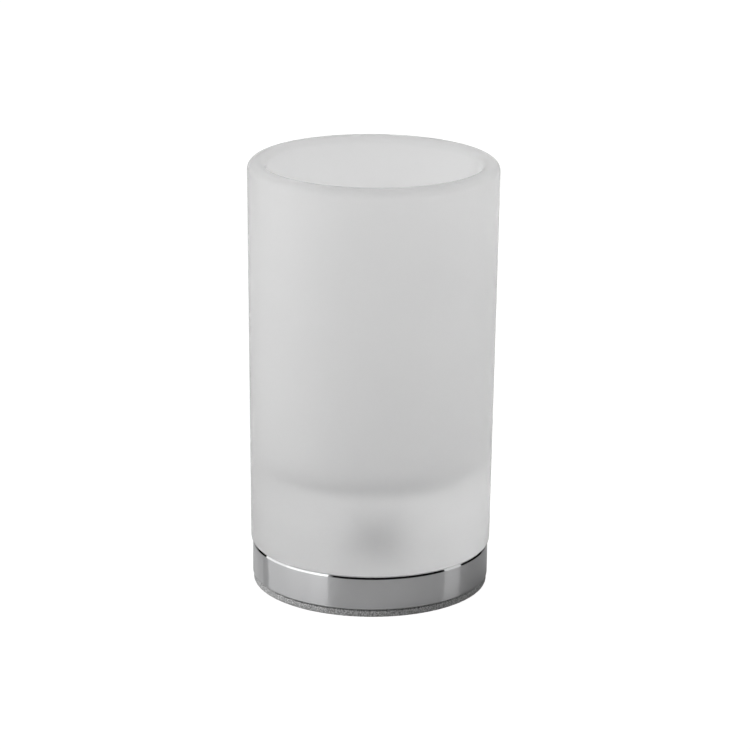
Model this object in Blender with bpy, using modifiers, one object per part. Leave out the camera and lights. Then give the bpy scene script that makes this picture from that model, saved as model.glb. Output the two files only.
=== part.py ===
"""Free-standing bathroom tumbler holder.

A satin glass tumbler with a thick solid bottom stands on a chrome-plated foot. A blind socket in the
glass drops over a spigot in the middle of the foot: a shouldered stud that carries a turning bush. The
glass lifts straight off and turns with the bush. A nut and a spring washer hold the stud from below,
under a grained anti-slip pad.

Metres, +Z up. The origin is the middle of the pad's underside, and +Z is the common axis of all pieces.
"""

import math

import bmesh
import bpy
from mathutils import Vector

MM = 0.001

# Clearances
SEAT_GAP = 0.3 * MM
RUNNING_GAP = 0.1 * MM
CUT_OVERRUN = 1.0 * MM

# Glass tumbler
GLASS_HEIGHT = 106.8 * MM
GLASS_RIM_RADIUS = 34.0 * MM
GLASS_FOOT_RADIUS = 32.95 * MM
GLASS_WALL = 5.0 * MM
GLASS_BOTTOM_THICKNESS = 20.3 * MM
GLASS_FLOOR_ROUND = 7.0 * MM
LIP_OUTER_DROP = 2.4 * MM
LIP_INNER_DROP = 1.6 * MM
LIP_CREST_SHARE = 0.5
GLASS_EDGE_WIDTH = 0.6 * MM
GLASS_EDGE_HEIGHT = 1.3 * MM
SOCKET_HEADROOM = 1.0 * MM
SOCKET_ROOF_ROUND = 2.0 * MM
SOCKET_MOUTH_CHAMFER = 0.5 * MM

# Metal foot
BASE_INSET = 0.5 * MM
BASE_THICKNESS = 9.25 * MM
BASE_TOP_CHAMFER = 0.35 * MM
BASE_BOTTOM_CHAMFER = 0.2 * MM
STUD_HOLE_CHAMFER = 0.2 * MM
SPANNER_ROOM = 2.2 * MM

# Seat ring in the foot
WASHER_EDGE_INSET = 4.5 * MM
WASHER_WIDTH = 4.0 * MM
WASHER_THICKNESS = 1.0 * MM
WASHER_ROUND = 0.3 * MM

# Anti-slip pad
PAD_INSET = 0.2 * MM
PAD_THICKNESS = 1.85 * MM
PAD_EDGE_ROUND = 0.45 * MM

# Spigot stud
STUD_SHANK_RADIUS = 4.7 * MM
STUD_SHANK_LENGTH = 8.6 * MM
STUD_TAIL_RADIUS = 2.0 * MM
STUD_TAIL_PROJECTION = 0.6 * MM
STUD_TAIL_CHAMFER = 0.3 * MM
STUD_HEAD_OVERHANG = 0.9 * MM
STUD_HEAD_HEIGHT = 1.6 * MM
STUD_HEAD_ROUND = 0.6 * MM
KEY_SOCKET_FLATS = 4.0 * MM
KEY_SOCKET_DEPTH = 2.0 * MM

# Spigot bush
BUSH_WALL = 1.2 * MM
BUSH_LEAD_CHAMFER = 0.5 * MM
BUSH_RIB_HEIGHT = 0.2 * MM
BUSH_RIB_WIDTH = 1.0 * MM
BUSH_RIB_PLACE_SHARES = (0.68, 0.28)

# Nut and spring washer
NUT_FLATS = 7.0 * MM
NUT_HEIGHT = 3.2 * MM
NUT_CORNER_SLOPE_DEG = 30.0
NUT_FACE_SHARE = 0.95
LOCK_WASHER_WIDTH = 1.5 * MM
LOCK_WASHER_THICKNESS = 0.9 * MM
LOCK_WASHER_SLOT = 0.7 * MM
LOCK_WASHER_SLOT_SLANT_DEG = 20.0

# Facets
RING_STEPS = 80
SMALL_RING_STEPS = 40
ROUND_STEPS = 5
FLOOR_ROUND_STEPS = 7
SHARP_ANGLE_DEG = 32.0
MERGE_DISTANCE = 0.001 * MM

# Radii that follow from the sizes above
BASE_RADIUS = GLASS_FOOT_RADIUS - BASE_INSET
PAD_RADIUS = BASE_RADIUS - PAD_INSET
WASHER_OUTER_RADIUS = BASE_RADIUS - WASHER_EDGE_INSET
WASHER_INNER_RADIUS = WASHER_OUTER_RADIUS - WASHER_WIDTH
STUD_HEAD_RADIUS = STUD_SHANK_RADIUS + STUD_HEAD_OVERHANG
STUD_HOLE_RADIUS = STUD_TAIL_RADIUS + SEAT_GAP
BUSH_BORE_RADIUS = STUD_SHANK_RADIUS + RUNNING_GAP
BUSH_RADIUS = BUSH_BORE_RADIUS + BUSH_WALL
SOCKET_RADIUS = BUSH_RADIUS + BUSH_RIB_HEIGHT + SEAT_GAP
NUT_CORNER_RADIUS = NUT_FLATS / math.sqrt(3)
NUT_BORE_RADIUS = STUD_TAIL_RADIUS + RUNNING_GAP
LOCK_WASHER_BORE_RADIUS = STUD_TAIL_RADIUS + SEAT_GAP
LOCK_WASHER_RADIUS = LOCK_WASHER_BORE_RADIUS + LOCK_WASHER_WIDTH
COUNTERBORE_RADIUS = NUT_CORNER_RADIUS + SPANNER_ROOM

# Heights that follow, from the pad upwards
BASE_BOTTOM_Z = PAD_THICKNESS + SEAT_GAP
BASE_TOP_Z = BASE_BOTTOM_Z + BASE_THICKNESS
GLASS_Z = BASE_TOP_Z + SEAT_GAP
WASHER_Z = BASE_TOP_Z - WASHER_THICKNESS
WASHER_GROOVE_DEPTH = WASHER_THICKNESS + SEAT_GAP
SHOULDER_Z = BASE_TOP_Z + SEAT_GAP
BUSH_LENGTH = STUD_SHANK_LENGTH - SEAT_GAP
STUD_TOP_Z = SHOULDER_Z + STUD_SHANK_LENGTH + STUD_HEAD_HEIGHT
SOCKET_DEPTH = STUD_TOP_Z + SOCKET_HEADROOM - GLASS_Z
COUNTERBORE_DEPTH = (
    SEAT_GAP + STUD_TAIL_PROJECTION + NUT_HEIGHT + SEAT_GAP + LOCK_WASHER_THICKNESS + SEAT_GAP
)
TAIL_END_Z = BASE_BOTTOM_Z + SEAT_GAP
NUT_Z = TAIL_END_Z + STUD_TAIL_PROJECTION
LOCK_WASHER_Z = NUT_Z + NUT_HEIGHT + SEAT_GAP


def clear_scene():
    """Take every object out of the open file."""
    for old in list(bpy.data.objects):
        bpy.data.objects.remove(old, do_unlink=True)


def new_collection(name):
    """A collection of that name, linked to the scene."""
    collection = bpy.data.collections.new(name)
    bpy.context.scene.collection.children.link(collection)
    return collection


def principled(name, colour, roughness, metallic=0.0, transmission=0.0):
    """A Principled material with the values of one finish."""
    material = bpy.data.materials.new(name)
    material.use_nodes = True
    shader = material.node_tree.nodes["Principled BSDF"]
    shader.inputs["Base Color"].default_value = (*colour, 1.0)
    shader.inputs["Roughness"].default_value = roughness
    shader.inputs["Metallic"].default_value = metallic
    shader.inputs["Transmission Weight"].default_value = transmission
    material.diffuse_color = (*colour, 1.0)
    material.roughness = roughness
    material.metallic = metallic
    return material


def arc(centre, radii, start_deg, end_deg, steps=ROUND_STEPS):
    """Points along an elliptic arc in the plane of the profile, both ends included."""
    points = []
    for step in range(steps + 1):
        angle = math.radians(start_deg + (end_deg - start_deg) * step / steps)
        radius = centre[0] + radii[0] * math.cos(angle)
        height = centre[1] + radii[1] * math.sin(angle)
        points.append((radius, height))
    return points


def place(obj, collection, z, material=None):
    """Put an object in its collection at a height on the axis, with its finish."""
    for holder in list(obj.users_collection):
        holder.objects.unlink(obj)
    collection.objects.link(obj)
    obj.location = Vector((0, 0, z))
    if material:
        obj.data.materials.clear()
        obj.data.materials.append(material)
    return obj


def apply_modifiers(obj):
    """Replace an object's mesh by the mesh that its modifiers make."""
    graph = bpy.context.evaluated_depsgraph_get()
    made = bpy.data.meshes.new_from_object(obj.evaluated_get(graph))
    plain = obj.data
    obj.modifiers.clear()
    obj.data = made
    bpy.data.meshes.remove(plain)
    made.name = obj.name


def shade(obj):
    """Smooth shading that stops at the sharp edges."""
    obj.data.shade_smooth()
    obj.data.set_sharp_from_angle(angle=math.radians(SHARP_ANGLE_DEG))


def turned(name, profile, closed=True, steps=RING_STEPS):
    """A turned body. The profile holds (radius, height) points and runs down its outer side.

    An open profile starts and ends on the axis. A closed one goes round the section of a ring.
    """
    mesh = bpy.data.meshes.new(name)
    outline = bmesh.new()
    points = [outline.verts.new((radius, 0, height)) for radius, height in profile]
    for first, second in zip(points, points[1:]):
        outline.edges.new((first, second))
    if closed:
        outline.edges.new((points[-1], points[0]))
    outline.to_mesh(mesh)
    outline.free()
    obj = bpy.data.objects.new(name, mesh)
    bpy.context.scene.collection.objects.link(obj)
    screw = obj.modifiers.new("turn", "SCREW")
    screw.axis = "Z"
    screw.angle = math.tau
    screw.steps = steps
    screw.render_steps = steps
    screw.use_merge_vertices = True
    screw.merge_threshold = MERGE_DISTANCE
    apply_modifiers(obj)
    shade(obj)
    return obj


def prism(name, radius, height, sides):
    """An upright prism that stands on its own origin."""
    bpy.ops.mesh.primitive_cylinder_add(vertices=sides, radius=radius, depth=height)
    obj = bpy.context.object
    obj.name = name
    for vertex in obj.data.vertices:
        vertex.co.z += height / 2
    return obj


def combine(obj, other, cutters, operation="DIFFERENCE"):
    """Cut an object with another, or keep what they share. The other becomes a hidden helper."""
    place(other, cutters, other.location.z)
    other.hide_render = True
    other.display_type = "WIRE"
    boolean = obj.modifiers.new(other.name, "BOOLEAN")
    boolean.operation = operation
    boolean.solver = "EXACT"
    boolean.object = other


def glass_radius_at(height):
    """Outer radius of the glass, which widens evenly from its foot to its lip."""
    share = height / (GLASS_HEIGHT - LIP_OUTER_DROP)
    return GLASS_FOOT_RADIUS + (GLASS_RIM_RADIUS - GLASS_FOOT_RADIUS) * share


def glass_tumbler():
    """The glass in one profile: floor, bore, lip, outside, underside and blind socket."""
    bore_radius = glass_radius_at(GLASS_BOTTOM_THICKNESS) - GLASS_WALL
    lip_bore_radius = GLASS_RIM_RADIUS - GLASS_WALL
    crest_radius = lip_bore_radius + LIP_CREST_SHARE * GLASS_WALL
    floor_round = (bore_radius - GLASS_FLOOR_ROUND, GLASS_BOTTOM_THICKNESS + GLASS_FLOOR_ROUND)
    lip_inside = (crest_radius, GLASS_HEIGHT - LIP_INNER_DROP)
    lip_outside = (crest_radius, GLASS_HEIGHT - LIP_OUTER_DROP)
    foot_edge = (GLASS_FOOT_RADIUS - GLASS_EDGE_WIDTH, GLASS_EDGE_HEIGHT)
    roof = (SOCKET_RADIUS - SOCKET_ROOF_ROUND, SOCKET_DEPTH - SOCKET_ROOF_ROUND)

    profile = [(0, GLASS_BOTTOM_THICKNESS)]
    profile += arc(floor_round, (GLASS_FLOOR_ROUND,) * 2, -90, 0, FLOOR_ROUND_STEPS)
    profile += arc(lip_inside, (crest_radius - lip_bore_radius, LIP_INNER_DROP), 180, 90)
    profile += arc(lip_outside, (GLASS_RIM_RADIUS - crest_radius, LIP_OUTER_DROP), 90, 0)[1:]
    profile += arc(foot_edge, (GLASS_EDGE_WIDTH, GLASS_EDGE_HEIGHT), 0, -90)
    profile += [(SOCKET_RADIUS + SOCKET_MOUTH_CHAMFER, 0), (SOCKET_RADIUS, SOCKET_MOUTH_CHAMFER)]
    profile += arc(roof, (SOCKET_ROOF_ROUND,) * 2, 0, 90)
    profile += [(0, SOCKET_DEPTH)]
    return turned("glass_tumbler", profile, closed=False)


def metal_base():
    """The foot: chamfered rim, groove for the seat ring, stud hole and counterbore."""
    top = BASE_THICKNESS
    groove_floor = top - WASHER_GROOVE_DEPTH
    groove_inner = WASHER_INNER_RADIUS - SEAT_GAP
    groove_outer = WASHER_OUTER_RADIUS + SEAT_GAP
    profile = [
        (STUD_HOLE_RADIUS + STUD_HOLE_CHAMFER, top),
        (groove_inner, top),
        (groove_inner, groove_floor),
        (groove_outer, groove_floor),
        (groove_outer, top),
        (BASE_RADIUS - BASE_TOP_CHAMFER, top),
        (BASE_RADIUS, top - BASE_TOP_CHAMFER),
        (BASE_RADIUS, BASE_BOTTOM_CHAMFER),
        (BASE_RADIUS - BASE_BOTTOM_CHAMFER, 0),
        (COUNTERBORE_RADIUS, 0),
        (COUNTERBORE_RADIUS, COUNTERBORE_DEPTH),
        (STUD_HOLE_RADIUS, COUNTERBORE_DEPTH),
        (STUD_HOLE_RADIUS, top - STUD_HOLE_CHAMFER),
    ]
    return turned("metal_base", profile)


def seat_washer():
    """A flat ring with all four edges rounded."""
    low = WASHER_ROUND
    high = WASHER_THICKNESS - WASHER_ROUND
    inner = WASHER_INNER_RADIUS + WASHER_ROUND
    outer = WASHER_OUTER_RADIUS - WASHER_ROUND
    round_radii = (WASHER_ROUND, WASHER_ROUND)
    profile = arc((inner, high), round_radii, 180, 90, 2)
    profile += arc((outer, high), round_radii, 90, 0, 2)
    profile += arc((outer, low), round_radii, 0, -90, 2)
    profile += arc((inner, low), round_radii, -90, -180, 2)
    return turned("seat_washer", profile)


def anti_slip_pad():
    """A plain disc with softened edges."""
    pad = prism("anti_slip_pad", PAD_RADIUS, PAD_THICKNESS, RING_STEPS)
    bevel = pad.modifiers.new("soft edges", "BEVEL")
    bevel.width = PAD_EDGE_ROUND
    bevel.segments = 3
    bevel.limit_method = "ANGLE"
    bevel.angle_limit = math.radians(SHARP_ANGLE_DEG)
    apply_modifiers(pad)
    shade(pad)
    return pad


def spigot_stud(cutters):
    """Head, shank and threaded tail in one turned piece, with a hexagon socket in the head.

    Its own zero is the shoulder, where the shank stands on the foot.
    """
    head_top = STUD_SHANK_LENGTH + STUD_HEAD_HEIGHT
    tail_end = TAIL_END_Z - SHOULDER_Z
    head_edge = (STUD_HEAD_RADIUS - STUD_HEAD_ROUND, head_top - STUD_HEAD_ROUND)
    profile = [(0, head_top)]
    profile += arc(head_edge, (STUD_HEAD_ROUND,) * 2, 90, 0)
    profile += [
        (STUD_HEAD_RADIUS, STUD_SHANK_LENGTH),
        (STUD_SHANK_RADIUS, STUD_SHANK_LENGTH),
        (STUD_SHANK_RADIUS, 0),
        (STUD_TAIL_RADIUS, 0),
        (STUD_TAIL_RADIUS, tail_end + STUD_TAIL_CHAMFER),
        (STUD_TAIL_RADIUS - STUD_TAIL_CHAMFER, tail_end),
        (0, tail_end),
    ]
    stud = turned("spigot_stud", profile, closed=False, steps=SMALL_RING_STEPS)
    key_radius = KEY_SOCKET_FLATS / math.sqrt(3)
    key = prism("key_socket_cutter", key_radius, KEY_SOCKET_DEPTH + CUT_OVERRUN, 6)
    key.location.z = SHOULDER_Z + head_top - KEY_SOCKET_DEPTH
    combine(stud, key, cutters)
    return stud


def spigot_bush():
    """A plain bush with two low grip ribs and a lead-in at its top."""
    rib_radii = (BUSH_RIB_HEIGHT, BUSH_RIB_WIDTH / 2)
    profile = [
        (BUSH_BORE_RADIUS, BUSH_LENGTH),
        (BUSH_RADIUS - BUSH_LEAD_CHAMFER, BUSH_LENGTH),
        (BUSH_RADIUS, BUSH_LENGTH - BUSH_LEAD_CHAMFER),
    ]
    for share in BUSH_RIB_PLACE_SHARES:
        profile += arc((BUSH_RADIUS, share * BUSH_LENGTH), rib_radii, 90, -90, 4)
    profile += [(BUSH_RADIUS, 0), (BUSH_BORE_RADIUS, 0)]
    return turned("spigot_bush", profile, steps=SMALL_RING_STEPS)


def stud_nut(cutters):
    """A hexagon nut whose corners are turned off at both ends."""
    nut = prism("stud_nut", NUT_CORNER_RADIUS, NUT_HEIGHT, 6)
    bore_height = NUT_HEIGHT + 2 * CUT_OVERRUN
    bore = prism("nut_bore_cutter", NUT_BORE_RADIUS, bore_height, SMALL_RING_STEPS)
    bore.location.z = NUT_Z - CUT_OVERRUN
    combine(nut, bore, cutters)

    slope = math.tan(math.radians(NUT_CORNER_SLOPE_DEG))
    face_radius = NUT_FACE_SHARE * NUT_FLATS / 2
    end_radius = face_radius - CUT_OVERRUN / slope
    reach = NUT_CORNER_RADIUS + CUT_OVERRUN
    drop = (reach - face_radius) * slope
    lens = [(0, NUT_HEIGHT + CUT_OVERRUN), (end_radius, NUT_HEIGHT + CUT_OVERRUN)]
    lens += [(reach, NUT_HEIGHT - drop), (reach, drop)]
    lens += [(end_radius, -CUT_OVERRUN), (0, -CUT_OVERRUN)]
    corners = turned("nut_corner_cutter", lens, closed=False, steps=SMALL_RING_STEPS)
    corners.location.z = NUT_Z
    combine(nut, corners, cutters, "INTERSECT")
    return nut


def lock_washer(cutters):
    """A square-section ring with a slanted slot through one side."""
    profile = [
        (LOCK_WASHER_BORE_RADIUS, LOCK_WASHER_THICKNESS),
        (LOCK_WASHER_RADIUS, LOCK_WASHER_THICKNESS),
        (LOCK_WASHER_RADIUS, 0),
        (LOCK_WASHER_BORE_RADIUS, 0),
    ]
    ring = turned("lock_washer", profile, steps=SMALL_RING_STEPS)
    bpy.ops.mesh.primitive_cube_add(size=1)
    slot = bpy.context.object
    slot.name = "washer_slot_cutter"
    length = LOCK_WASHER_WIDTH + 2 * CUT_OVERRUN
    height = LOCK_WASHER_THICKNESS + 2 * CUT_OVERRUN
    for vertex in slot.data.vertices:
        vertex.co.x = vertex.co.x * length + LOCK_WASHER_BORE_RADIUS + LOCK_WASHER_WIDTH / 2
        vertex.co.y *= LOCK_WASHER_SLOT
        vertex.co.z *= height
    slot.rotation_euler.x = math.radians(LOCK_WASHER_SLOT_SLANT_DEG)
    slot.location.z = LOCK_WASHER_Z + LOCK_WASHER_THICKNESS / 2
    combine(ring, slot, cutters)
    return ring


def axis_empty(name, collection, z):
    """An empty that marks where a joint's axis passes."""
    empty = bpy.data.objects.new(name, None)
    empty.empty_display_type = "SINGLE_ARROW"
    empty.empty_display_size = BASE_RADIUS
    collection.objects.link(empty)
    empty.location.z = z
    return empty


def ride(obj, empty):
    """Parent an object to a joint's empty and keep its place in the world."""
    obj.parent = empty
    obj.location.z -= empty.location.z


def main():
    clear_scene()
    parts = new_collection("tumbler_holder")
    cutters = new_collection("cutters")

    satin_glass = principled("satin_glass", (0.86, 0.87, 0.87), 0.55, transmission=1.0)
    chrome = principled("polished_chrome", (0.72, 0.72, 0.73), 0.06, metallic=1.0)
    stainless = principled("stainless_steel", (0.56, 0.56, 0.57), 0.25, metallic=1.0)
    zinc = principled("zinc_plate", (0.62, 0.63, 0.65), 0.35, metallic=1.0)
    spring_steel = principled("spring_steel", (0.3, 0.3, 0.31), 0.4, metallic=1.0)
    nylon = principled("grey_nylon", (0.2, 0.2, 0.21), 0.5)
    silicone = principled("clear_silicone", (0.75, 0.76, 0.76), 0.4, transmission=0.5)
    grey_rubber = principled("grained_rubber", (0.3, 0.3, 0.3), 0.85)

    place(anti_slip_pad(), parts, 0, grey_rubber)
    place(metal_base(), parts, BASE_BOTTOM_Z, chrome)
    place(seat_washer(), parts, WASHER_Z, silicone)
    place(spigot_stud(cutters), parts, SHOULDER_Z, stainless)
    place(lock_washer(cutters), parts, LOCK_WASHER_Z, spring_steel)
    place(stud_nut(cutters), parts, NUT_Z, zinc)
    bush = place(spigot_bush(), parts, SHOULDER_Z, nylon)
    glass = place(glass_tumbler(), parts, GLASS_Z, satin_glass)

    turn_axis = axis_empty("bush_turn_axis", parts, SHOULDER_Z)
    lift_axis = axis_empty("tumbler_lift_axis", parts, GLASS_Z)
    ride(bush, turn_axis)
    ride(glass, lift_axis)
    ride(lift_axis, turn_axis)


main()
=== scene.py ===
"""Looks of a free-standing tumbler holder for a bathroom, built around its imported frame.

A satin glass tumbler stands on a polished chrome foot with a spigot in its middle and a grained
pad underneath. The file is laid out as an add-on: settings, one operator for each piece, one for
the stage and a panel. Run as a script, it makes every piece in order and then the stage.
"""

import math

import bmesh
import bpy
from bpy.props import FloatProperty, FloatVectorProperty, IntProperty, PointerProperty
from mathutils import Matrix, Quaternion, Vector, noise


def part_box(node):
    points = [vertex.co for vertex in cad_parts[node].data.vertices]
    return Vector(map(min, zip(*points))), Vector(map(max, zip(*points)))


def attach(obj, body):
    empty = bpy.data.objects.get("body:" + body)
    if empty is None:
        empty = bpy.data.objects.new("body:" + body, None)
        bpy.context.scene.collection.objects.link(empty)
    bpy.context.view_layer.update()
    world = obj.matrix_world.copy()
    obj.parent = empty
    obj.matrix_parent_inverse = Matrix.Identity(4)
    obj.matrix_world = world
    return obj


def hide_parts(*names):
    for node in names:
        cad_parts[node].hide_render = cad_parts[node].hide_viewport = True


bl_info = {
    "name": "Tumbler Holder",
    "version": (1, 0, 0),
    "blender": (4, 5, 0),
    "location": "View3D > Sidebar > Tumbler Holder",
    "description": "Makes a satin glass tumbler on a chrome foot, piece by piece",
    "category": "Add Mesh",
}

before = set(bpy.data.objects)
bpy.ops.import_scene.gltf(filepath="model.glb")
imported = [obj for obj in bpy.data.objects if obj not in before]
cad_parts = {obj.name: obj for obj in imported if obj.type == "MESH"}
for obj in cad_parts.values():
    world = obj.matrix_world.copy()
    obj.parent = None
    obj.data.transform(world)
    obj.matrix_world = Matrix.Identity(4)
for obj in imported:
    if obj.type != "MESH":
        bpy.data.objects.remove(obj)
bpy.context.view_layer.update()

MM = 0.001
SQRT_3 = math.sqrt(3)

# Points of a profile that are nearer than this are one point.
NEAR = 0.0002 * MM

# A corner this share of a radius from the axis, or further, lies on that radius.
ALMOST = 0.99

# Directions as the camera sees them.
RIGHT, LEFT = (1, 0, 0), (-1, 0, 0)
AWAY, TOWARDS = (0, 1, 0), (0, -1, 0)
UP, DOWN = (0, 0, 1), (0, 0, -1)


def box_of(node):
    """Radius, lowest height and highest height of a turned CAD node."""
    low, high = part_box(node)
    return high[0], low[2], high[2]


def foot_radius_of(node, height):
    """Largest distance from the axis of a CAD node's corners up to a height over its underside."""
    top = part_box(node)[0][2] + height
    corners = [corner.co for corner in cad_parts[node].data.vertices]
    return max(math.hypot(corner.x, corner.y) for corner in corners if corner.z <= top)


RIM_RADIUS, GLASS_LOW, GLASS_TOP = box_of("glass_tumbler")
BASE_RADIUS, BASE_LOW, BASE_TOP = box_of("metal_base")
PAD_RADIUS, PAD_LOW, PAD_TOP = box_of("anti_slip_pad")
SEAT_RADIUS, SEAT_LOW, SEAT_TOP = box_of("seat_washer")
HEAD_RADIUS, STUD_LOW, STUD_TOP = box_of("spigot_stud")
RIB_RADIUS, BUSH_LOW, BUSH_TOP = box_of("spigot_bush")
SPRING_RADIUS, SPRING_LOW, SPRING_TOP = box_of("lock_washer")
NUT_HALF_FLATS, NUT_LOW, NUT_TOP = box_of("stud_nut")
GLASS_FOOT_RADIUS = foot_radius_of("glass_tumbler", 2 * MM)


def length(name, description, default):
    """A length setting in metres."""
    return FloatProperty(
        name=name, description=description, default=default, min=0.0, unit="LENGTH", precision=5
    )


def degrees(name, description, default):
    """An angle setting, with its default in degrees."""
    return FloatProperty(
        name=name, description=description, default=math.radians(default), subtype="ANGLE"
    )


def light(name, description, default):
    """A radiance setting, where 1 is white to the camera."""
    return FloatProperty(name=name, description=description, default=default, min=0.0)


def facets(description, default):
    """The number of facets round a turned piece."""
    return IntProperty(name="Segments", description=description, default=default, min=24)


def share(name, description, default):
    """A setting from nothing to the whole."""
    return FloatProperty(
        name=name, description=description, default=default, min=0.0, max=1.0, subtype="FACTOR"
    )


def colour(name, description, default):
    """A colour setting, in linear values."""
    return FloatVectorProperty(
        name=name,
        description=description,
        default=default,
        size=3,
        min=0.0,
        max=1.0,
        subtype="COLOR",
    )


class TumblerSettings(bpy.types.PropertyGroup):
    """The glass."""

    rim_radius: length("Rim radius", "Outer radius under the lip", RIM_RADIUS)
    foot_radius: length("Foot radius", "Outer radius over the foot edge", GLASS_FOOT_RADIUS)
    wall: length("Wall", "Thickness of the wall", 5.0 * MM)
    bottom: length("Bottom", "Thickness of the solid bottom", 20.3 * MM)
    floor_round: length("Floor rounding", "Radius from the floor into the wall", 7.0 * MM)
    lip_outer_drop: length("Lip outside", "Height of the lip's outer rounding", 2.4 * MM)
    lip_inner_drop: length("Lip inside", "Height of the lip's inner rounding", 2.2 * MM)
    edge_width: length("Edge width", "Width of the rounded lower edge", 0.6 * MM)
    edge_height: length("Edge height", "Height of the rounded lower edge", 1.3 * MM)
    socket_radius: length("Socket radius", "Radius of the blind socket", RIB_RADIUS + 0.3 * MM)
    socket_depth: length("Socket depth", "Depth of the blind socket", 11.2 * MM)
    socket_round: length("Socket rounding", "Radius at the socket's roof", 2.0 * MM)
    mouth_chamfer: length("Mouth chamfer", "Chamfer at the socket's mouth", 0.5 * MM)
    segments: facets("Facets round the glass", 256)
    tint: colour("Tint", "Colour of the glass", (0.878, 0.878, 0.878))
    etch: share("Etch", "Roughness of the etched skin", 0.75)
    clear: share("Clear", "Share of the glass that lets light through", 1.0)


class FootSettings(bpy.types.PropertyGroup):
    """The metal foot."""

    radius: length("Radius", "Radius of the foot", BASE_RADIUS)
    chamfer: length("Top chamfer", "Width of the polished chamfer round the top", 0.27 * MM)
    chamfer_height: length("Chamfer height", "Height of the same chamfer", 0.552 * MM)
    lower_chamfer: length("Lower chamfer", "Broken edge round the underside", 0.2 * MM)
    corner: length("Corner", "Radius left by polishing on each corner", 0.06 * MM)
    groove_inner: length("Groove inner", "Inner radius of the seat groove", SEAT_RADIUS - 4.3 * MM)
    groove_outer: length("Groove outer", "Outer radius of the seat groove", SEAT_RADIUS + 0.3 * MM)
    groove_depth: length("Groove depth", "Depth of the seat groove", 1.3 * MM)
    hole_radius: length("Hole radius", "Clearance hole for the stud", 2.3 * MM)
    recess_radius: length("Recess radius", "Counterbore for the nut", 6.24 * MM)
    recess_depth: length("Recess depth", "Depth of the counterbore", 5.6 * MM)
    segments: facets("Facets round the foot", 256)
    plate: colour("Plate", "Colour of the chrome plate", (0.65, 0.652, 0.66))


class PadSettings(bpy.types.PropertyGroup):
    """The anti-slip pad."""

    radius: length("Radius", "Radius of the pad", PAD_RADIUS)
    edge_round: length("Edge rounding", "Radius of the pad's edges", 0.45 * MM)
    grain_height: length("Grain height", "Height of the pebbled grain", 0.07 * MM)
    grain_pitch: length("Grain pitch", "Distance between pebbles", 0.36 * MM)
    segments: facets("Facets round the pad", 1200)
    rubber: colour("Rubber", "Colour of the rubber", (0.45, 0.45, 0.45))


class SpigotSettings(bpy.types.PropertyGroup):
    """Stud, bush, seat ring, nut and spring washer."""

    shank_radius: length("Shank radius", "Radius the bush turns on", 4.7 * MM)
    head_height: length("Head height", "Height of the stud's head", 1.6 * MM)
    head_round: length("Head rounding", "Radius of the head's top edge", 0.6 * MM)
    tail_radius: length("Tail radius", "Outer radius of the thread", 2.0 * MM)
    pitch: length("Pitch", "Pitch of the thread", 0.7 * MM)
    thread_depth: length("Thread depth", "Depth of the thread", 0.35 * MM)
    key_flats: length("Key size", "Across the flats of the key socket", 4.0 * MM)
    key_depth: length("Key depth", "Depth of the key socket", 2.0 * MM)
    bush_bore: length("Bush bore", "Radius of the bush's bore", 4.8 * MM)
    bush_radius: length("Bush radius", "Radius of the bush between its ribs", RIB_RADIUS - 0.2 * MM)
    bush_lead: length("Bush lead-in", "Rounding at the bush's top", 0.5 * MM)
    rib_width: length("Rib width", "Height of each grip rib", 1.0 * MM)
    seat_width: length("Seat width", "Width of the seat ring", 4.0 * MM)
    seat_round: length("Seat rounding", "Radius of the seat ring's edges", 0.3 * MM)
    nut_bore: length("Nut bore", "Radius of the nut's bore", 2.1 * MM)
    nut_face: share("Nut face", "Radius of its round face, as a share of half its flats", 0.95)
    nut_slope: degrees("Nut slope", "Slope of the turned corners", 30)
    spring_bore: length("Washer bore", "Radius of the spring washer's bore", 2.3 * MM)
    spring_gap: length("Washer gap", "Width of the spring washer's slot", 0.7 * MM)
    segments: facets("Facets round each piece", 96)
    steel: colour("Steel", "Colour of the turned stud", (0.5, 0.5, 0.51))
    nylon: colour("Nylon", "Colour of the bush", (0.3, 0.3, 0.303))
    silicone: colour("Silicone", "Colour of the seat ring", (0.82, 0.83, 0.83))
    zinc: colour("Zinc", "Colour of the plated nut", (0.62, 0.63, 0.65))
    blued_steel: colour("Blued steel", "Colour of the spring washer", (0.1, 0.1, 0.11))


class StageSettings(bpy.types.PropertyGroup):
    """Camera, floor, sky and lamps."""

    camera_back: length("Camera distance", "From the axis to the camera", 0.871367)
    camera_height: length("Camera height", "From the floor to the camera", 0.323166)
    camera_tilt: degrees("Tilt", "Down from level", 16.9023)
    camera_pan: degrees("Pan", "To the right of the axis", 0.0573)
    camera_roll: degrees("Roll", "About the line of sight", 0.5732)
    lens: FloatProperty(name="Lens", description="Focal length in mm", default=160.0, min=1.0)
    floor_radius: length("Floor radius", "Radius of the floor", 3.0)
    floor: colour("Floor", "Colour of the floor", (0.8, 0.8, 0.8))
    floor_coat: share("Floor coat", "Weight of the floor's clear coat", 0.8)
    camera_white: share("Camera white", "Share of white that the camera sees in the floor", 0.85)
    camera_glow: light("Camera glow", "Radiance of that white and of the studio behind", 1.18)
    glass_white: share("Glass white", "Share of white that the glass shows of the floor", 0.36)
    glass_glow: light("Glass glow", "Radiance of that white", 1.38)
    glass_sky: light("Glass sky", "Radiance that the glass shows of the studio", 0.885)
    metal_sky: light("Metal sky", "Radiance that the metal shows of the studio", 0.006)
    sky: light("Sky", "Radiance of the studio to matt surfaces", 0.21)
    box_distance: length("Softbox distance", "From the axis to the side softboxes", 0.6)
    box_lean: degrees("Softbox lean", "How far they lean back", 8)
    key: light("Key", "Radiance of the left softbox", 1.55)
    fill: light("Fill", "Radiance of the right softbox", 0.86)
    top: light("Top", "Radiance of the softbox overhead", 0.45)
    hair: light("Hair", "Radiance of the softbox high behind", 0.6)
    back: light("Back", "Radiance of the lit wall behind", 0.12)


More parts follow.
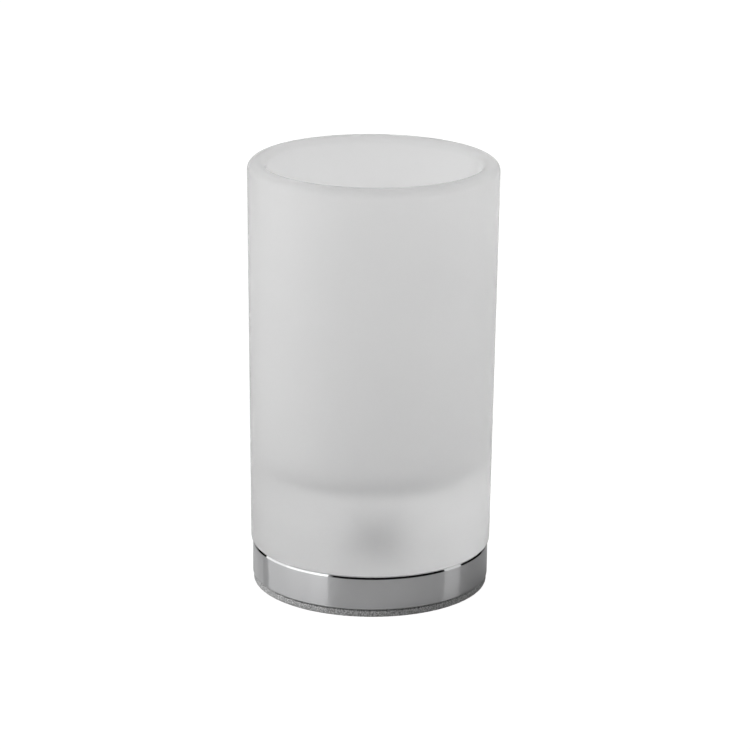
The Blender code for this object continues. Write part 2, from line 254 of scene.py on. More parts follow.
SETTINGS = {
    "tumbler": TumblerSettings,
    "foot": FootSettings,
    "pad": PadSettings,
    "spigot": SpigotSettings,
    "stage": StageSettings,
}


def settings(group):
    """One group of settings of this scene."""
    return getattr(bpy.context.scene, f"holder_{group}")


class Signal:
    """A node's output, on which Python's operators place Math nodes."""

    def __init__(self, tree, socket):
        self.tree = tree
        self.socket = socket

    def math(self, operation, *values):
        """A Math node on these values, which are signals or numbers."""
        node = self.tree.nodes.new("ShaderNodeMath")
        node.operation = operation
        for entry, value in zip(node.inputs, values):
            if isinstance(value, Signal):
                self.tree.links.new(value.socket, entry)
            else:
                entry.default_value = value
        return Signal(self.tree, node.outputs[0])

    def __add__(self, other):
        return self.math("ADD", self, other)

    def __radd__(self, other):
        return self.math("ADD", other, self)

    def __sub__(self, other):
        return self.math("SUBTRACT", self, other)

    def __rsub__(self, other):
        return self.math("SUBTRACT", other, self)

    def __mul__(self, other):
        return self.math("MULTIPLY", self, other)

    def __rmul__(self, other):
        return self.math("MULTIPLY", other, self)

    def larger(self, other):
        """The larger of this signal and another."""
        return self.math("MAXIMUM", self, other)

    def limited(self):
        """The same signal held between 0 and 1."""
        return self.math("MINIMUM", self.larger(0.0), 1.0)


class Graph:
    """A node tree whose nodes come from one method."""

    def __init__(self, tree):
        self.tree = tree

    def node(self, kind, choices=None, values=None, output=0):
        """Any node: its choices are set first, then its sockets, which are named by identifier."""
        node = self.tree.nodes.new(kind)
        for name, choice in (choices or {}).items():
            setattr(node, name, choice)
        sockets = {entry.identifier: entry for entry in node.inputs}
        for name, value in (values or {}).items():
            if isinstance(value, Signal):
                self.tree.links.new(value.socket, sockets[name])
            else:
                sockets[name].default_value = value
        outputs = {entry.identifier: entry for entry in node.outputs}
        found = outputs[output] if isinstance(output, str) else node.outputs[output]
        return Signal(self.tree, found)


class Finish(Graph):
    """A material's nodes, with its Principled shader."""

    def __init__(self, name):
        self.material = bpy.data.materials.new(name)
        self.material.use_nodes = True
        super().__init__(self.material.node_tree)
        self.shader = self.tree.nodes["Principled BSDF"]
        self.output = self.tree.nodes["Material Output"]

    def position(self, stretch=(1.0, 1.0, 1.0)):
        """Object coordinates in metres, stretched along each axis."""
        place = self.node("ShaderNodeTexCoord", output="Object")
        return self.node(
            "ShaderNodeVectorMath",
            {"operation": "MULTIPLY"},
            {"Vector": place, "Vector_001": stretch},
            "Vector",
        )

    def reach(self, stretch):
        """Length of the stretched coordinates, in metres."""
        values = {"Vector": self.position(stretch)}
        return self.node("ShaderNodeVectorMath", {"operation": "LENGTH"}, values, "Value")

    def from_axis(self):
        """Distance from the Z axis, in metres."""
        return self.reach((1.0, 1.0, 0.0))

    def above_origin(self):
        """Height over the origin, in metres."""
        return self.reach((0.0, 0.0, 1.0))

    def noise(self, size, detail, stretch=(1.0, 1.0, 1.0), roughness=0.5):
        """Noise whose features are about size metres across, from 0 to 1."""
        place = self.position(stretch)
        values = {"Vector": place, "Scale": 1.0 / size, "Detail": detail, "Roughness": roughness}
        return self.node("ShaderNodeTexNoise", None, values, "Fac")

    def blend(self, factor, first, second):
        """A mix of two colours."""
        values = {"Factor_Float": factor, "A_Color": rgba(first), "B_Color": rgba(second)}
        return self.node("ShaderNodeMix", {"data_type": "RGBA"}, values, "Result_Color")

    def vary(self, factor, value, first, second):
        """A colour that runs from one shade of it to another."""
        return self.blend(factor, shades(value, first), shades(value, second))

    def bump(self, height, distance, strength):
        """Turn a height signal into a normal."""
        values = {"Height": height, "Distance": distance, "Strength": strength}
        normal = self.node("ShaderNodeBump", None, values, "Normal")
        self.feed(Normal=normal)

    def feed(self, **values):
        """Set or link sockets of the Principled shader, with _ for the spaces in their names."""
        for name, value in values.items():
            entry = self.shader.inputs[name.replace("_", " ")]
            if isinstance(value, Signal):
                self.tree.links.new(value.socket, entry)
            else:
                entry.default_value = value


def rgba(value):
    """A colour with its alpha, or a signal as it is."""
    return value if isinstance(value, Signal) else (*value, 1.0)


def shades(value, factor):
    """A colour made lighter or darker."""
    return tuple(min(1.0, channel * factor) for channel in value)


def satin_glass():
    """Acid-etched glass: a rough skin, a shade uneven and grained, over a darker solid bottom."""
    tumbler = settings("tumbler")
    solid_top = PAD_TOP + 24 * MM
    solid_fade = 6 * MM
    solid_shade = 0.953
    finish = Finish("satin_glass")
    cloud = finish.noise(size=24 * MM, detail=3.0)
    grain = finish.noise(size=0.35 * MM, detail=2.0)
    height = finish.above_origin()
    solid = ((solid_top - height) * (1.0 / solid_fade)).limited()
    thin = finish.vary(cloud, tumbler.tint, 0.985, 1.015)
    tint = finish.blend(solid, thin, shades(tumbler.tint, solid_shade))
    rough = tumbler.etch + (cloud - 0.5) * 0.05 + (grain - 0.5) * 0.06
    finish.feed(Base_Color=tint, Roughness=rough, IOR=1.5, Transmission_Weight=tumbler.clear)
    finish.bump(grain, distance=0.004 * MM, strength=0.5)
    return finish.material


def polished_chrome():
    """Bright plate on a turned foot, polished where it shows; rough where no wheel reached, with
    painted shade.
    """
    foot = settings("foot")
    # Under the glass the plate is unpolished, so rougher, and its colour is also drawn darker
    # there: painted shade for the shade under the glass.
    unpolished_and_shaded_radius = foot.radius - foot.chamfer - 0.1 * MM
    unpolished_and_shaded_fade = 0.15 * MM
    painted_shade_under_glass = 0.58
    finish = Finish("polished_chrome")
    across = finish.from_axis()
    unpolished_and_shaded = ((unpolished_and_shaded_radius - across) * (1.0 / unpolished_and_shaded_fade)).limited()
    wheel = finish.noise(size=6 * MM, detail=3.0, stretch=(1.0, 1.0, 40.0))
    haze = finish.noise(size=9 * MM, detail=2.0)
    turning = finish.noise(size=0.6 * MM, detail=3.0, stretch=(1.0, 1.0, 0.0))
    bright = finish.vary(haze, foot.plate, 0.985, 1.015)
    # Painted shade: under the glass the plate colour turns darker, with turning marks through it.
    plate = finish.blend(unpolished_and_shaded * (0.6 + turning * 0.4), bright, shades(foot.plate, painted_shade_under_glass))
    rough = 0.035 + haze * 0.03 + wheel * 0.015 + unpolished_and_shaded * (0.34 + turning * 0.1)
    finish.feed(Base_Color=plate, Metallic=1.0, Roughness=rough)
    finish.bump(wheel + unpolished_and_shaded * turning * 4.0, distance=0.0006 * MM, strength=0.4)
    return finish.material


def grained_rubber():
    """Matt rubber with a speckled, pebbled skin."""
    pad = settings("pad")
    dark_below, contrast = 0.4, 5.0
    finish = Finish("grained_rubber")
    pebbles = finish.noise(size=pad.grain_pitch, detail=2.0, roughness=0.6)
    dust = finish.noise(size=0.18 * MM, detail=1.0)
    grit = finish.noise(size=0.32 * MM, detail=1.0)
    speckle = ((grit * 0.75 + pebbles * 0.25 - dark_below) * contrast).limited()
    rubber = finish.vary(speckle, pad.rubber, 0.4, 1.6)
    finish.feed(Base_Color=rubber, Roughness=0.42 + dust * 0.2, Specular_IOR_Level=1.0, IOR=1.7)
    finish.bump(pebbles * 0.7 + dust * 0.3, distance=0.08 * MM, strength=0.9)
    return finish.material


def turned_steel():
    """Stainless steel with fine rings left by the lathe."""
    spigot = settings("spigot")
    finish = Finish("turned_steel")
    rings = finish.noise(size=0.12 * MM, detail=2.0, stretch=(0.2, 0.2, 1.0))
    haze = finish.noise(size=2 * MM, detail=2.0)
    steel = finish.vary(haze, spigot.steel, 0.94, 1.06)
    finish.feed(Base_Color=steel, Metallic=1.0, Roughness=0.2 + rings * 0.14)
    finish.bump(rings, distance=0.004 * MM, strength=0.5)
    return finish.material


def moulded_nylon():
    """Grey nylon, slightly glossy, with the soft unevenness of a moulding."""
    spigot = settings("spigot")
    finish = Finish("moulded_nylon")
    flow = finish.noise(size=1.6 * MM, detail=3.0)
    grain = finish.noise(size=0.1 * MM, detail=2.0)
    nylon = finish.vary(flow, spigot.nylon, 0.88, 1.12)
    finish.feed(Base_Color=nylon, Roughness=0.42 + grain * 0.14)
    finish.bump(grain, distance=0.01 * MM, strength=0.6)
    return finish.material


def clear_silicone():
    """Milky clear silicone."""
    spigot = settings("spigot")
    finish = Finish("clear_silicone")
    cloud = finish.noise(size=3 * MM, detail=3.0)
    grain = finish.noise(size=0.2 * MM, detail=2.0)
    silicone = finish.vary(cloud, spigot.silicone, 0.94, 1.04)
    finish.feed(Base_Color=silicone, Roughness=0.35 + grain * 0.15)
    finish.feed(IOR=1.41, Transmission_Weight=0.45)
    finish.bump(grain, distance=0.01 * MM, strength=0.6)
    return finish.material


def zinc_plate():
    """Zinc plate with its faint cloudy spangle."""
    spigot = settings("spigot")
    spangle_size = 0.9 * MM
    finish = Finish("zinc_plate")
    cells = {"Vector": finish.position(), "Scale": 1.0 / spangle_size}
    spangle = finish.node("ShaderNodeTexVoronoi", None, cells, "Distance")
    haze = finish.noise(size=0.6 * MM, detail=3.0)
    zinc = finish.vary(spangle, spigot.zinc, 1.05, 0.86)
    finish.feed(Base_Color=zinc, Metallic=1.0, Roughness=0.26 + haze * 0.16)
    finish.bump(haze, distance=0.004 * MM, strength=0.5)
    return finish.material


def blued_steel():
    """Dark oiled spring steel."""
    spigot = settings("spigot")
    finish = Finish("blued_steel")
    scale = finish.noise(size=0.7 * MM, detail=4.0)
    steel = finish.vary(scale, spigot.blued_steel, 0.7, 1.5)
    finish.feed(Base_Color=steel, Metallic=0.85, Roughness=0.34 + scale * 0.2)
    finish.bump(scale, distance=0.006 * MM, strength=0.5)
    return finish.material


def arc(centre, radii, start_deg, end_deg, steps):
    """Points along an elliptic arc of a profile, both ends included."""
    points = []
    for step in range(steps + 1):
        angle = math.radians(start_deg + (end_deg - start_deg) * step / steps)
        across = centre[0] + radii[0] * math.cos(angle)
        up = centre[1] + radii[1] * math.sin(angle)
        points.append((across, up))
    return points


def straight(start, end, hold, steps=1):
    """Points between two ends, with one near each end that keeps the shading of the flat."""
    start, end = Vector(start), Vector(end)
    along = (end - start).normalized() * min(hold, (end - start).length / 3)
    low, high = start + along, end - along
    inner = [low.lerp(high, step / steps) for step in range(steps + 1)]
    return [tuple(point) for point in inner]


def rounded(corners, radius, steps=3):
    """A profile through corners, each cut back by a radius and rounded."""
    points = []
    count = len(corners)
    for index, corner in enumerate(corners):
        here = Vector(corner)
        before = Vector(corners[index - 1])
        after = Vector(corners[(index + 1) % count])
        reach = min(radius, (before - here).length / 3, (after - here).length / 3)
        first = here + (before - here).normalized() * reach
        last = here + (after - here).normalized() * reach
        for step in range(steps + 1):
            turn = step / steps
            point = first.lerp(here, turn).lerp(here.lerp(last, turn), turn)
            points.append(tuple(point))
        away = after - last
        points.append(tuple(last + away.normalized() * min(radius, away.length / 4)))
    return points


def new_object(name, mesh):
    """An object in the scene's own collection."""
    made = bpy.data.objects.new(name, mesh)
    bpy.context.scene.collection.objects.link(made)
    return made


def turned(name, profile, segments, closed):
    """A body turned about Z from (radius, height) points.

    An open profile runs from the axis to the axis, and a closed one in a ring.
    """
    kept = [profile[0]]
    for point in profile[1:]:
        if math.dist(point, kept[-1]) > NEAR:
            kept.append(point)
    if closed and math.dist(kept[0], kept[-1]) < NEAR:
        kept.pop()
    turns = [math.tau * step / segments for step in range(segments)]
    corners, rings = [], []
    for across, up in kept:
        first = len(corners)
        if across < NEAR:
            corners.append((0, 0, up))
            rings.append([first] * segments)
        else:
            corners += [(across * math.cos(turn), across * math.sin(turn), up) for turn in turns]
            rings.append(list(range(first, first + segments)))
    pairs = list(zip(rings, rings[1:]))
    if closed:
        pairs.append((rings[-1], rings[0]))
    faces = []
    for upper, lower in pairs:
        for step in range(segments):
            after = (step + 1) % segments
            face = (upper[step], upper[after], lower[after], lower[step])
            faces.append(tuple(dict.fromkeys(face)))
    mesh = bpy.data.meshes.new(name)
    mesh.from_pydata(corners, [], faces)
    shape = bmesh.new()
    shape.from_mesh(mesh)
    bmesh.ops.recalc_face_normals(shape, faces=shape.faces)
    shape.to_mesh(mesh)
    shape.free()
    mesh.shade_smooth()
    return new_object(name, mesh)


def finished(piece, material, body, node):
    """Give a piece its finish and its body, and hide the CAD node that it stands for."""
    piece.data.materials.clear()
    piece.data.materials.append(material)
    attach(piece, body)
    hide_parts(node)


def thread_radius(outer, depth, pitch, angle, height):
    """Radius of a thread at an angle and a height, with its crest and root flattened."""
    land = 0.12
    phase = (height / pitch - angle / math.tau) % 1.0
    slope = abs(2.0 * phase - 1.0)
    flat = min(1.0, max(0.0, (slope - land) / (1.0 - 2 * land)))
    return outer - depth * flat


class HOLDER_OT_tumbler(bpy.types.Operator):
    """The satin glass tumbler"""

    bl_idname = "holder.tumbler"
    bl_label = "Tumbler"

    def execute(self, context):
        size = settings("tumbler")
        hold = 0.4 * MM
        low, top = GLASS_LOW, GLASS_TOP
        taper = (size.rim_radius - size.foot_radius) / (top - low - size.lip_outer_drop)
        bore_foot = size.foot_radius + taper * size.bottom - size.wall
        bore_rim = size.rim_radius - size.wall
        crest = (bore_rim + size.rim_radius) / 2
        half_wall = size.wall / 2
        floor = low + size.bottom
        roof = low + size.socket_depth

        floor_round = (bore_foot - size.floor_round, floor + size.floor_round)
        lip_inside = (crest, top - size.lip_inner_drop)
        lip_outside = (crest, top - size.lip_outer_drop)
        foot_edge = (size.foot_radius - size.edge_width, low + size.edge_height)
        roof_round = (size.socket_radius - size.socket_round, roof - size.socket_round)
        mouth = size.socket_radius + size.mouth_chamfer
        mouth_top = (size.socket_radius, low + size.mouth_chamfer)

        profile = [(0, floor)]
        profile += straight((0, floor), (floor_round[0], floor), hold, 3)
        profile += arc(floor_round, (size.floor_round, size.floor_round), -90, 0, 24)
        profile += straight((bore_foot, floor_round[1]), (bore_rim, lip_inside[1]), hold, 6)
        profile += arc(lip_inside, (half_wall, size.lip_inner_drop), 180, 90, 16)
        profile += arc(lip_outside, (half_wall, size.lip_outer_drop), 90, 0, 16)[1:]
        outside_top = (size.rim_radius, lip_outside[1])
        profile += straight(outside_top, (size.foot_radius, foot_edge[1]), hold, 8)
        profile += arc(foot_edge, (size.edge_width, size.edge_height), 0, -90, 8)
        profile += straight((foot_edge[0], low), (mouth, low), hold, 2)
        profile += [(mouth, low), mouth_top]
        profile += straight(mouth_top, (size.socket_radius, roof_round[1]), hold)
        profile += arc(roof_round, (size.socket_round, size.socket_round), 0, 90, 8)
        profile += [(0, roof)]
        piece = turned("satin_tumbler", profile, size.segments, closed=False)
        finished(piece, satin_glass(), "tumbler", "glass_tumbler")
        return {"FINISHED"}


class HOLDER_OT_foot(bpy.types.Operator):
    """The polished metal foot, with its seat groove, stud hole and counterbore"""

    bl_idname = "holder.foot"
    bl_label = "Foot"

    def execute(self, context):
        size = settings("foot")
        low, top = BASE_LOW, BASE_TOP
        corners = [
            (size.hole_radius, top),
            (size.groove_inner, top),
            (size.groove_inner, top - size.groove_depth),
            (size.groove_outer, top - size.groove_depth),
            (size.groove_outer, top),
            (size.radius - size.chamfer, top),
            (size.radius, top - size.chamfer_height),
            (size.radius, low + size.lower_chamfer),
            (size.radius - size.lower_chamfer, low),
            (size.recess_radius, low),
            (size.recess_radius, low + size.recess_depth),
            (size.hole_radius, low + size.recess_depth),
        ]
        profile = rounded(corners, size.corner)
        piece = turned("polished_foot", profile, size.segments, closed=True)
        finished(piece, polished_chrome(), "foot", "metal_base")
        return {"FINISHED"}


class HOLDER_OT_pad(bpy.types.Operator):
    """The grained anti-slip pad"""

    bl_idname = "holder.pad"
    bl_label = "Pad"

    def execute(self, context):
        size = settings("pad")
        edge = size.edge_round
        radius = size.radius - size.grain_height
        inner_ring, outer_ring = radius * 0.5, radius * 0.9
        grained_from = radius * 0.97
        low, top = PAD_LOW, PAD_TOP
        rows = 5
        profile = [(0, top), (inner_ring, top), (outer_ring, top)]
        profile += arc((radius - edge, top - edge), (edge, edge), 90, 0, 4)
        side_top, side_low = top - edge, low + edge
        for row in range(1, rows):
            profile.append((radius, side_top + (side_low - side_top) * row / rows))
        profile += arc((radius - edge, low + edge), (edge, edge), 0, -90, 4)
        profile += [(outer_ring, low), (inner_ring, low), (0, low)]
        piece = turned("grained_pad", profile, size.segments, closed=False)
        for corner in piece.data.vertices:
            place = corner.co / size.grain_pitch
            lift = noise.noise(place) * size.grain_height
            outward = Vector((corner.co.x, corner.co.y, 0))
            if outward.length > grained_from:
                corner.co += outward.normalized() * lift
        finished(piece, grained_rubber(), "foot", "anti_slip_pad")
        return {"FINISHED"}


class HOLDER_OT_seat_ring(bpy.types.Operator):
    """The silicone ring that the glass stands on"""

    bl_idname = "holder.seat_ring"
    bl_label = "Seat ring"

    def execute(self, context):
        size = settings("spigot")
        inner, outer = SEAT_RADIUS - size.seat_width, SEAT_RADIUS
        corners = [(inner, SEAT_TOP), (outer, SEAT_TOP), (outer, SEAT_LOW), (inner, SEAT_LOW)]
        profile = rounded(corners, size.seat_round, 5)
        piece = turned("seat_ring", profile, 2 * size.segments, closed=True)
        finished(piece, clear_silicone(), "foot", "seat_washer")
        return {"FINISHED"}


class HOLDER_OT_stud(bpy.types.Operator):
    """The shouldered stud, with its key socket and threaded tail"""

    bl_idname = "holder.stud"
    bl_label = "Stud"

    def execute(self, context):
        size = settings("spigot")
        shoulder = BUSH_LOW
        under_head = STUD_TOP - size.head_height
        edge = (HEAD_RADIUS - size.head_round, STUD_TOP - size.head_round)
        hold = 0.1 * MM
        neck = size.tail_radius - size.thread_depth
        profile = [(0, STUD_TOP)]
        profile += straight((0, STUD_TOP), (edge[0], STUD_TOP), hold, 2)
        profile += arc(edge, (size.head_round, size.head_round), 90, 0, 8)
        profile += straight((HEAD_RADIUS, edge[1]), (HEAD_RADIUS, under_head), hold)
        profile += [(HEAD_RADIUS, under_head), (size.shank_radius, under_head)]
        profile += straight((size.shank_radius, under_head), (size.shank_radius, shoulder), hold, 3)
        profile += [(size.shank_radius, shoulder), (neck, shoulder)]
        thread_top = shoulder - size.pitch
        rows = 96
        for row in range(rows + 1):
            profile.append((size.tail_radius, thread_top + (STUD_LOW - thread_top) * row / rows))
        profile += [(0, STUD_LOW)]
        piece = turned("shouldered_stud", profile, size.segments, closed=False)
        self.cut_thread(piece.data, size, thread_top)
        piece = self.cut_key_socket(piece, size)
        piece.data.set_sharp_from_angle(angle=math.radians(35))
        finished(piece, turned_steel(), "foot", "spigot_stud")
        return {"FINISHED"}

    def cut_thread(self, mesh, size, thread_top):
        """Draw the tail's corners in along a helix, with a lead at its end."""
        for corner in mesh.vertices:
            across = math.hypot(corner.co.x, corner.co.y)
            height = corner.co.z
            if height > thread_top or across < size.tail_radius * ALMOST:
                continue
            angle = math.atan2(corner.co.y, corner.co.x)
            deep = thread_radius(size.tail_radius, size.thread_depth, size.pitch, angle, height)
            lead = size.tail_radius - size.thread_depth + (height - STUD_LOW)
            factor = min(deep, lead) / across
            corner.co.x *= factor
            corner.co.y *= factor

    def cut_key_socket(self, piece, size):
        """Cut the hexagon socket into the head."""
        over = 1.0 * MM
        tall = size.key_depth + over
        radius = size.key_flats / SQRT_3
        cutter = bmesh.new()
        bmesh.ops.create_cone(
            cutter, cap_ends=True, segments=6, radius1=radius, radius2=radius, depth=tall
        )
        middle = (0, 0, STUD_TOP - size.key_depth + tall / 2)
        bmesh.ops.translate(cutter, verts=cutter.verts, vec=middle)
        return subtract(piece, cutter)


class HOLDER_OT_bush(bpy.types.Operator):
    """The nylon bush that the glass grips"""

    bl_idname = "holder.bush"
    bl_label = "Bush"

    def execute(self, context):
        size = settings("spigot")
        tall = BUSH_TOP - BUSH_LOW
        rib = (RIB_RADIUS - size.bush_radius, size.rib_width / 2)
        rib_places = (0.68, 0.28)
        bore, outside = size.bush_bore, size.bush_radius
        corner, lead = 0.08 * MM, size.bush_lead
        profile = arc((bore + corner, BUSH_TOP - corner), (corner, corner), 180, 90, 3)
        profile += arc((outside - lead, BUSH_TOP - lead), (lead, lead), 90, 0, 8)
        for place in rib_places:
            profile += arc((outside, BUSH_LOW + place * tall), rib, 90, -90, 12)
        profile += arc((outside - corner, BUSH_LOW + corner), (corner, corner), 0, -90, 3)
        profile += arc((bore + corner, BUSH_LOW + corner), (corner, corner), -90, -180, 3)
        piece = turned("grip_bush", profile, size.segments, closed=True)
        piece.data.set_sharp_from_angle(angle=math.radians(50))
        finished(piece, moulded_nylon(), "bush", "spigot_bush")
        return {"FINISHED"}


class HOLDER_OT_nut(bpy.types.Operator):
    """The hexagon nut under the foot"""

    bl_idname = "holder.nut"
    bl_label = "Nut"

    def execute(self, context):
        size = settings("spigot")
        rows, turned_rows = 64, 8
        outside = NUT_HALF_FLATS * 2 / SQRT_3
        face = size.nut_face * NUT_HALF_FLATS
        deep = (outside - face) * math.tan(size.nut_slope)
        turned_off = [deep * row / turned_rows for row in range(turned_rows + 1)]
        profile = [(face, NUT_TOP)]
        profile += [(outside, NUT_TOP - depth) for depth in turned_off[1:]]
        profile += [(outside, NUT_LOW + depth) for depth in reversed(turned_off[1:])]
        profile += [(face, NUT_LOW)]
        for row in range(rows + 1):
            profile.append((size.nut_bore, NUT_LOW + (NUT_TOP - NUT_LOW) * row / rows))
        piece = turned("hex_nut", profile, size.segments, closed=True)
        for corner in piece.data.vertices:
            self.shape_corner(corner, size, face)
        piece.data.set_sharp_from_angle(angle=math.radians(25))
        finished(piece, zinc_plate(), "foot", "stud_nut")
        return {"FINISHED"}

    def shape_corner(self, corner, size, face):
        """Move an outer corner to the hexagon or its turned ends, an inner one to the thread."""
        angle = math.atan2(corner.co.y, corner.co.x)
        across = math.hypot(corner.co.x, corner.co.y)
        if across > face * ALMOST:
            side = (angle + math.pi / 6) % (math.pi / 3) - math.pi / 6
            depth = min(NUT_TOP - corner.co.z, corner.co.z - NUT_LOW)
            wanted = min(NUT_HALF_FLATS / math.cos(side), face + depth / math.tan(size.nut_slope))
        else:
            deep = thread_radius(0.0, size.thread_depth, size.pitch, angle, corner.co.z)
            wanted = size.nut_bore + size.thread_depth + deep
        corner.co.x *= wanted / across
        corner.co.y *= wanted / across


class HOLDER_OT_spring_washer(bpy.types.Operator):
    """The split spring washer"""

    bl_idname = "holder.spring_washer"
    bl_label = "Spring washer"

    def execute(self, context):
        size = settings("spigot")
        corners = [
            (size.spring_bore, SPRING_TOP),
            (SPRING_RADIUS, SPRING_TOP),
            (SPRING_RADIUS, SPRING_LOW),
            (size.spring_bore, SPRING_LOW),
        ]
        edge_round, slot_size, slot_slant = 0.06 * MM, 3 * MM, 0.6 * MM
        profile = rounded(corners, edge_round)
        piece = turned("spring_washer", profile, size.segments, closed=True)
        slot = bmesh.new()
        bmesh.ops.create_cube(slot, size=1.0)
        middle = (size.spring_bore + SPRING_RADIUS) / 2
        for corner in slot.verts:
            along, across, up = corner.co
            across = across * size.spring_gap + up * slot_slant
            corner.co = Vector((along * slot_size + middle, across, up * slot_size))
        bmesh.ops.translate(slot, verts=slot.verts, vec=(0, 0, (SPRING_LOW + SPRING_TOP) / 2))
        piece = subtract(piece, slot)
        piece.data.set_sharp_from_angle(angle=math.radians(50))
        finished(piece, blued_steel(), "foot", "lock_washer")
        return {"FINISHED"}


def subtract(piece, cutter_shape):
    """Cut a bmesh out of a piece, apply the cut and drop the cutter."""
    mesh = bpy.data.meshes.new("cutter")
    cutter_shape.to_mesh(mesh)
    cutter_shape.free()
    cutter = new_object("cutter", mesh)
    cut = piece.modifiers.new("cut", "BOOLEAN")
    cut.object = cutter
    cut.solver = "EXACT"
    graph = bpy.context.evaluated_depsgraph_get()
    made = bpy.data.meshes.new_from_object(piece.evaluated_get(graph))
    piece.modifiers.clear()
    piece.data = made
    bpy.data.objects.remove(cutter)
    return piece


def floor_finish(stage):
    """A pale polished floor, almost white to the camera, which keeps the object's shadow."""
    finish = Finish("studio_floor")
    finish.feed(Base_Color=(*stage.floor, 1.0), Roughness=0.35, Specular_IOR_Level=0.6)
    finish.feed(Coat_Weight=stage.floor_coat, Coat_Roughness=0.1)
    camera = finish.node("ShaderNodeLightPath", output="Is Camera Ray")
    through = finish.node("ShaderNodeLightPath", output="Is Transmission Ray")
    seen = (camera * stage.camera_white).larger(through * stage.glass_white)
    glow = camera * stage.camera_glow + through * stage.glass_glow
    white = finish.node("ShaderNodeEmission", None, {"Strength": glow})
    lit = Signal(finish.tree, finish.shader.outputs[0])
    shaders = {"Fac": seen, "Shader": lit, "Shader_001": white}
    mix = finish.node("ShaderNodeMixShader", None, shaders)
    finish.tree.links.new(mix.socket, finish.output.inputs["Surface"])
    return finish.material


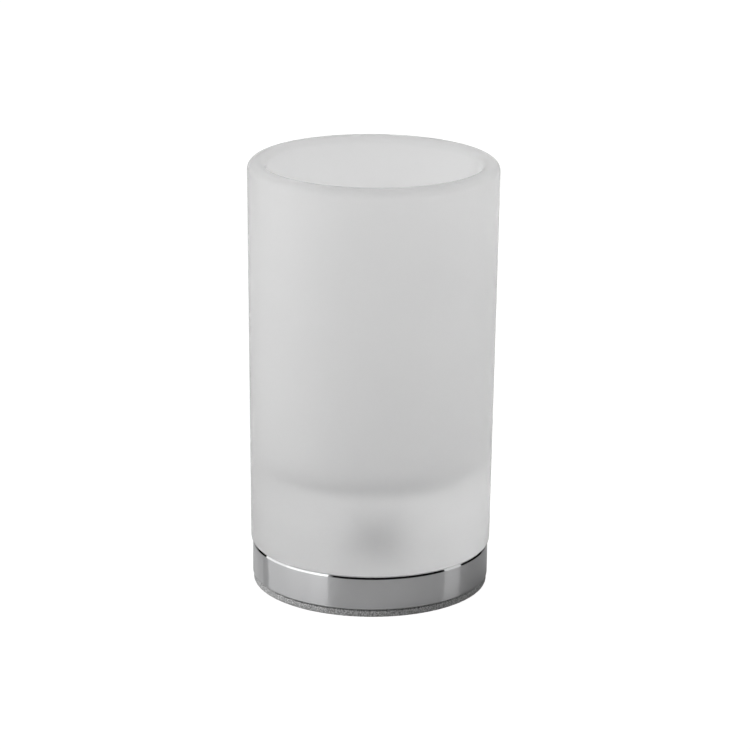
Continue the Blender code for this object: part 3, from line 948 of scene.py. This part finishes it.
class HOLDER_OT_stage(bpy.types.Operator):
    """Camera, floor, sky and softboxes"""

    bl_idname = "holder.stage"
    bl_label = "Stage"

    def execute(self, context):
        stage = settings("stage")
        self.camera(stage)
        self.floor(stage)
        self.sky(stage)
        self.side_lamps(stage)
        self.far_lamps(stage)
        context.scene.view_settings.view_transform = "Standard"
        return {"FINISHED"}

    def camera(self, stage):
        """The camera of the main view."""
        data = bpy.data.cameras.new("camera")
        data.lens = stage.lens
        data.sensor_width = 36.0
        data.clip_start = 0.01
        data.clip_end = 50.0
        camera = bpy.data.objects.new("camera", data)
        bpy.context.scene.collection.objects.link(camera)
        camera.location = (0, -stage.camera_back, stage.camera_height)
        turn = Quaternion((0, 0, 1), -stage.camera_pan)
        nod = Quaternion((1, 0, 0), math.pi / 2 - stage.camera_tilt)
        lean = Quaternion((0, 0, 1), stage.camera_roll)
        camera.rotation_mode = "QUATERNION"
        camera.rotation_quaternion = turn @ nod @ lean
        bpy.context.scene.camera = camera

    def floor(self, stage):
        """A round floor under the pad."""
        shape = bmesh.new()
        bmesh.ops.create_circle(shape, cap_ends=True, segments=96, radius=stage.floor_radius)
        mesh = bpy.data.meshes.new("studio_floor")
        shape.to_mesh(mesh)
        shape.free()
        floor = new_object("studio_floor", mesh)
        floor.data.materials.append(floor_finish(stage))

    def sky(self, stage):
        """The studio: white to the camera, grey through the glass and dark to the rest."""
        world = bpy.data.worlds.new("studio_sky")
        bpy.context.scene.world = world
        world.use_nodes = True
        graph = Graph(world.node_tree)
        camera = graph.node("ShaderNodeLightPath", output="Is Camera Ray")
        glossy = graph.node("ShaderNodeLightPath", output="Is Glossy Ray")
        through = graph.node("ShaderNodeLightPath", output="Is Transmission Ray")
        dark = stage.sky + glossy * (stage.metal_sky - stage.sky)
        rest = 1.0 - camera.larger(through)
        strength = dark * rest + camera * stage.camera_glow + through * stage.glass_sky
        background = world.node_tree.nodes["Background"]
        background.inputs["Color"].default_value = (1.0, 1.0, 1.0, 1.0)
        world.node_tree.links.new(strength.socket, background.inputs["Strength"])

    def side_lamps(self, stage):
        """The key, in three strips that brighten towards the camera, a low lamp and the fill."""
        far = stage.box_distance
        leaning = (0, math.sin(stage.box_lean), math.cos(stage.box_lean))
        strip_width, strip_height = 0.336, 1.35
        key_along, key_up = -0.136, 0.68
        low_share = 0.25
        for place, share_of_key in ((-1, 1.16), (0, 1.0), (1, 0.84)):
            aside = place * strip_width
            self.softbox(
                "key_softbox",
                middle=(-far, key_along + aside * leaning[2], key_up - aside * leaning[1]),
                facing=RIGHT,
                upward=leaning,
                size=(strip_width, strip_height),
                radiance=stage.key * share_of_key,
            )
        self.softbox(
            "low_softbox",
            middle=(-far, -0.87, 0.33),
            facing=RIGHT,
            upward=UP,
            size=(0.46, 0.32),
            radiance=stage.key * low_share,
        )
        self.softbox(
            "fill_softbox",
            middle=(far, -0.006, 0.43),
            facing=LEFT,
            upward=leaning,
            size=(0.223, 0.85),
            radiance=stage.fill,
        )

    def far_lamps(self, stage):
        """The softbox overhead, the one high behind and the lit wall."""
        self.softbox(
            "top_softbox",
            middle=(0, 0.42, 1.1),
            facing=DOWN,
            upward=AWAY,
            size=(1.0, 0.9),
            radiance=stage.top,
        )
        self.softbox(
            "hair_softbox",
            middle=(-0.7, 1.0, 0.8),
            facing=(0.49, -0.7, -0.52),
            upward=(0.3, -0.42, 0.85),
            size=(0.7, 0.7),
            radiance=stage.hair,
        )
        self.softbox(
            "lit_wall",
            middle=(0, 1.6, 0.8),
            facing=TOWARDS,
            upward=UP,
            size=(2.4, 1.6),
            radiance=stage.back,
        )

    def softbox(self, name, middle, facing, upward, size, radiance):
        """A soft lamp that stands at a point and faces a way, with its second size upward."""
        data = bpy.data.lights.new(name, "AREA")
        data.shape = "RECTANGLE"
        data.size, data.size_y = size
        data.energy = radiance * math.pi * size[0] * size[1]
        lamp = bpy.data.objects.new(name, data)
        bpy.context.scene.collection.objects.link(lamp)
        back = -Vector(facing).normalized()
        tall = Vector(upward).normalized()
        turn = Matrix((tall.cross(back), tall, back)).transposed()
        lamp.matrix_world = Matrix.Translation(middle) @ turn.to_4x4()
        lamp.visible_camera = False


class HOLDER_PT_panel(bpy.types.Panel):
    """The pieces and their settings"""

    bl_label = "Tumbler Holder"
    bl_idname = "HOLDER_PT_panel"
    bl_space_type = "VIEW_3D"
    bl_region_type = "UI"
    bl_category = "Tumbler Holder"

    def draw(self, context):
        for operator in OPERATORS:
            self.layout.operator(operator.bl_idname)
        for name, group in SETTINGS.items():
            box = self.layout.box()
            box.label(text=name.capitalize())
            for prop in group.__annotations__:
                box.prop(settings(name), prop)


OPERATORS = (
    HOLDER_OT_tumbler,
    HOLDER_OT_foot,
    HOLDER_OT_pad,
    HOLDER_OT_seat_ring,
    HOLDER_OT_stud,
    HOLDER_OT_bush,
    HOLDER_OT_nut,
    HOLDER_OT_spring_washer,
    HOLDER_OT_stage,
)
CLASSES = (*SETTINGS.values(), *OPERATORS, HOLDER_PT_panel)


def register():
    """Add the settings, operators and panel."""
    for entry in CLASSES:
        bpy.utils.register_class(entry)
    for name, group in SETTINGS.items():
        setattr(bpy.types.Scene, f"holder_{name}", PointerProperty(type=group))


def unregister():
    """Take them out again."""
    for name in SETTINGS:
        delattr(bpy.types.Scene, f"holder_{name}")
    for entry in reversed(CLASSES):
        bpy.utils.unregister_class(entry)


def main():
    """Make every piece in order, then the stage."""
    register()
    bpy.ops.holder.tumbler()
    bpy.ops.holder.foot()
    bpy.ops.holder.pad()
    bpy.ops.holder.seat_ring()
    bpy.ops.holder.stud()
    bpy.ops.holder.bush()
    bpy.ops.holder.nut()
    bpy.ops.holder.spring_washer()
    bpy.ops.holder.stage()


if __name__ == "__main__":
    main()
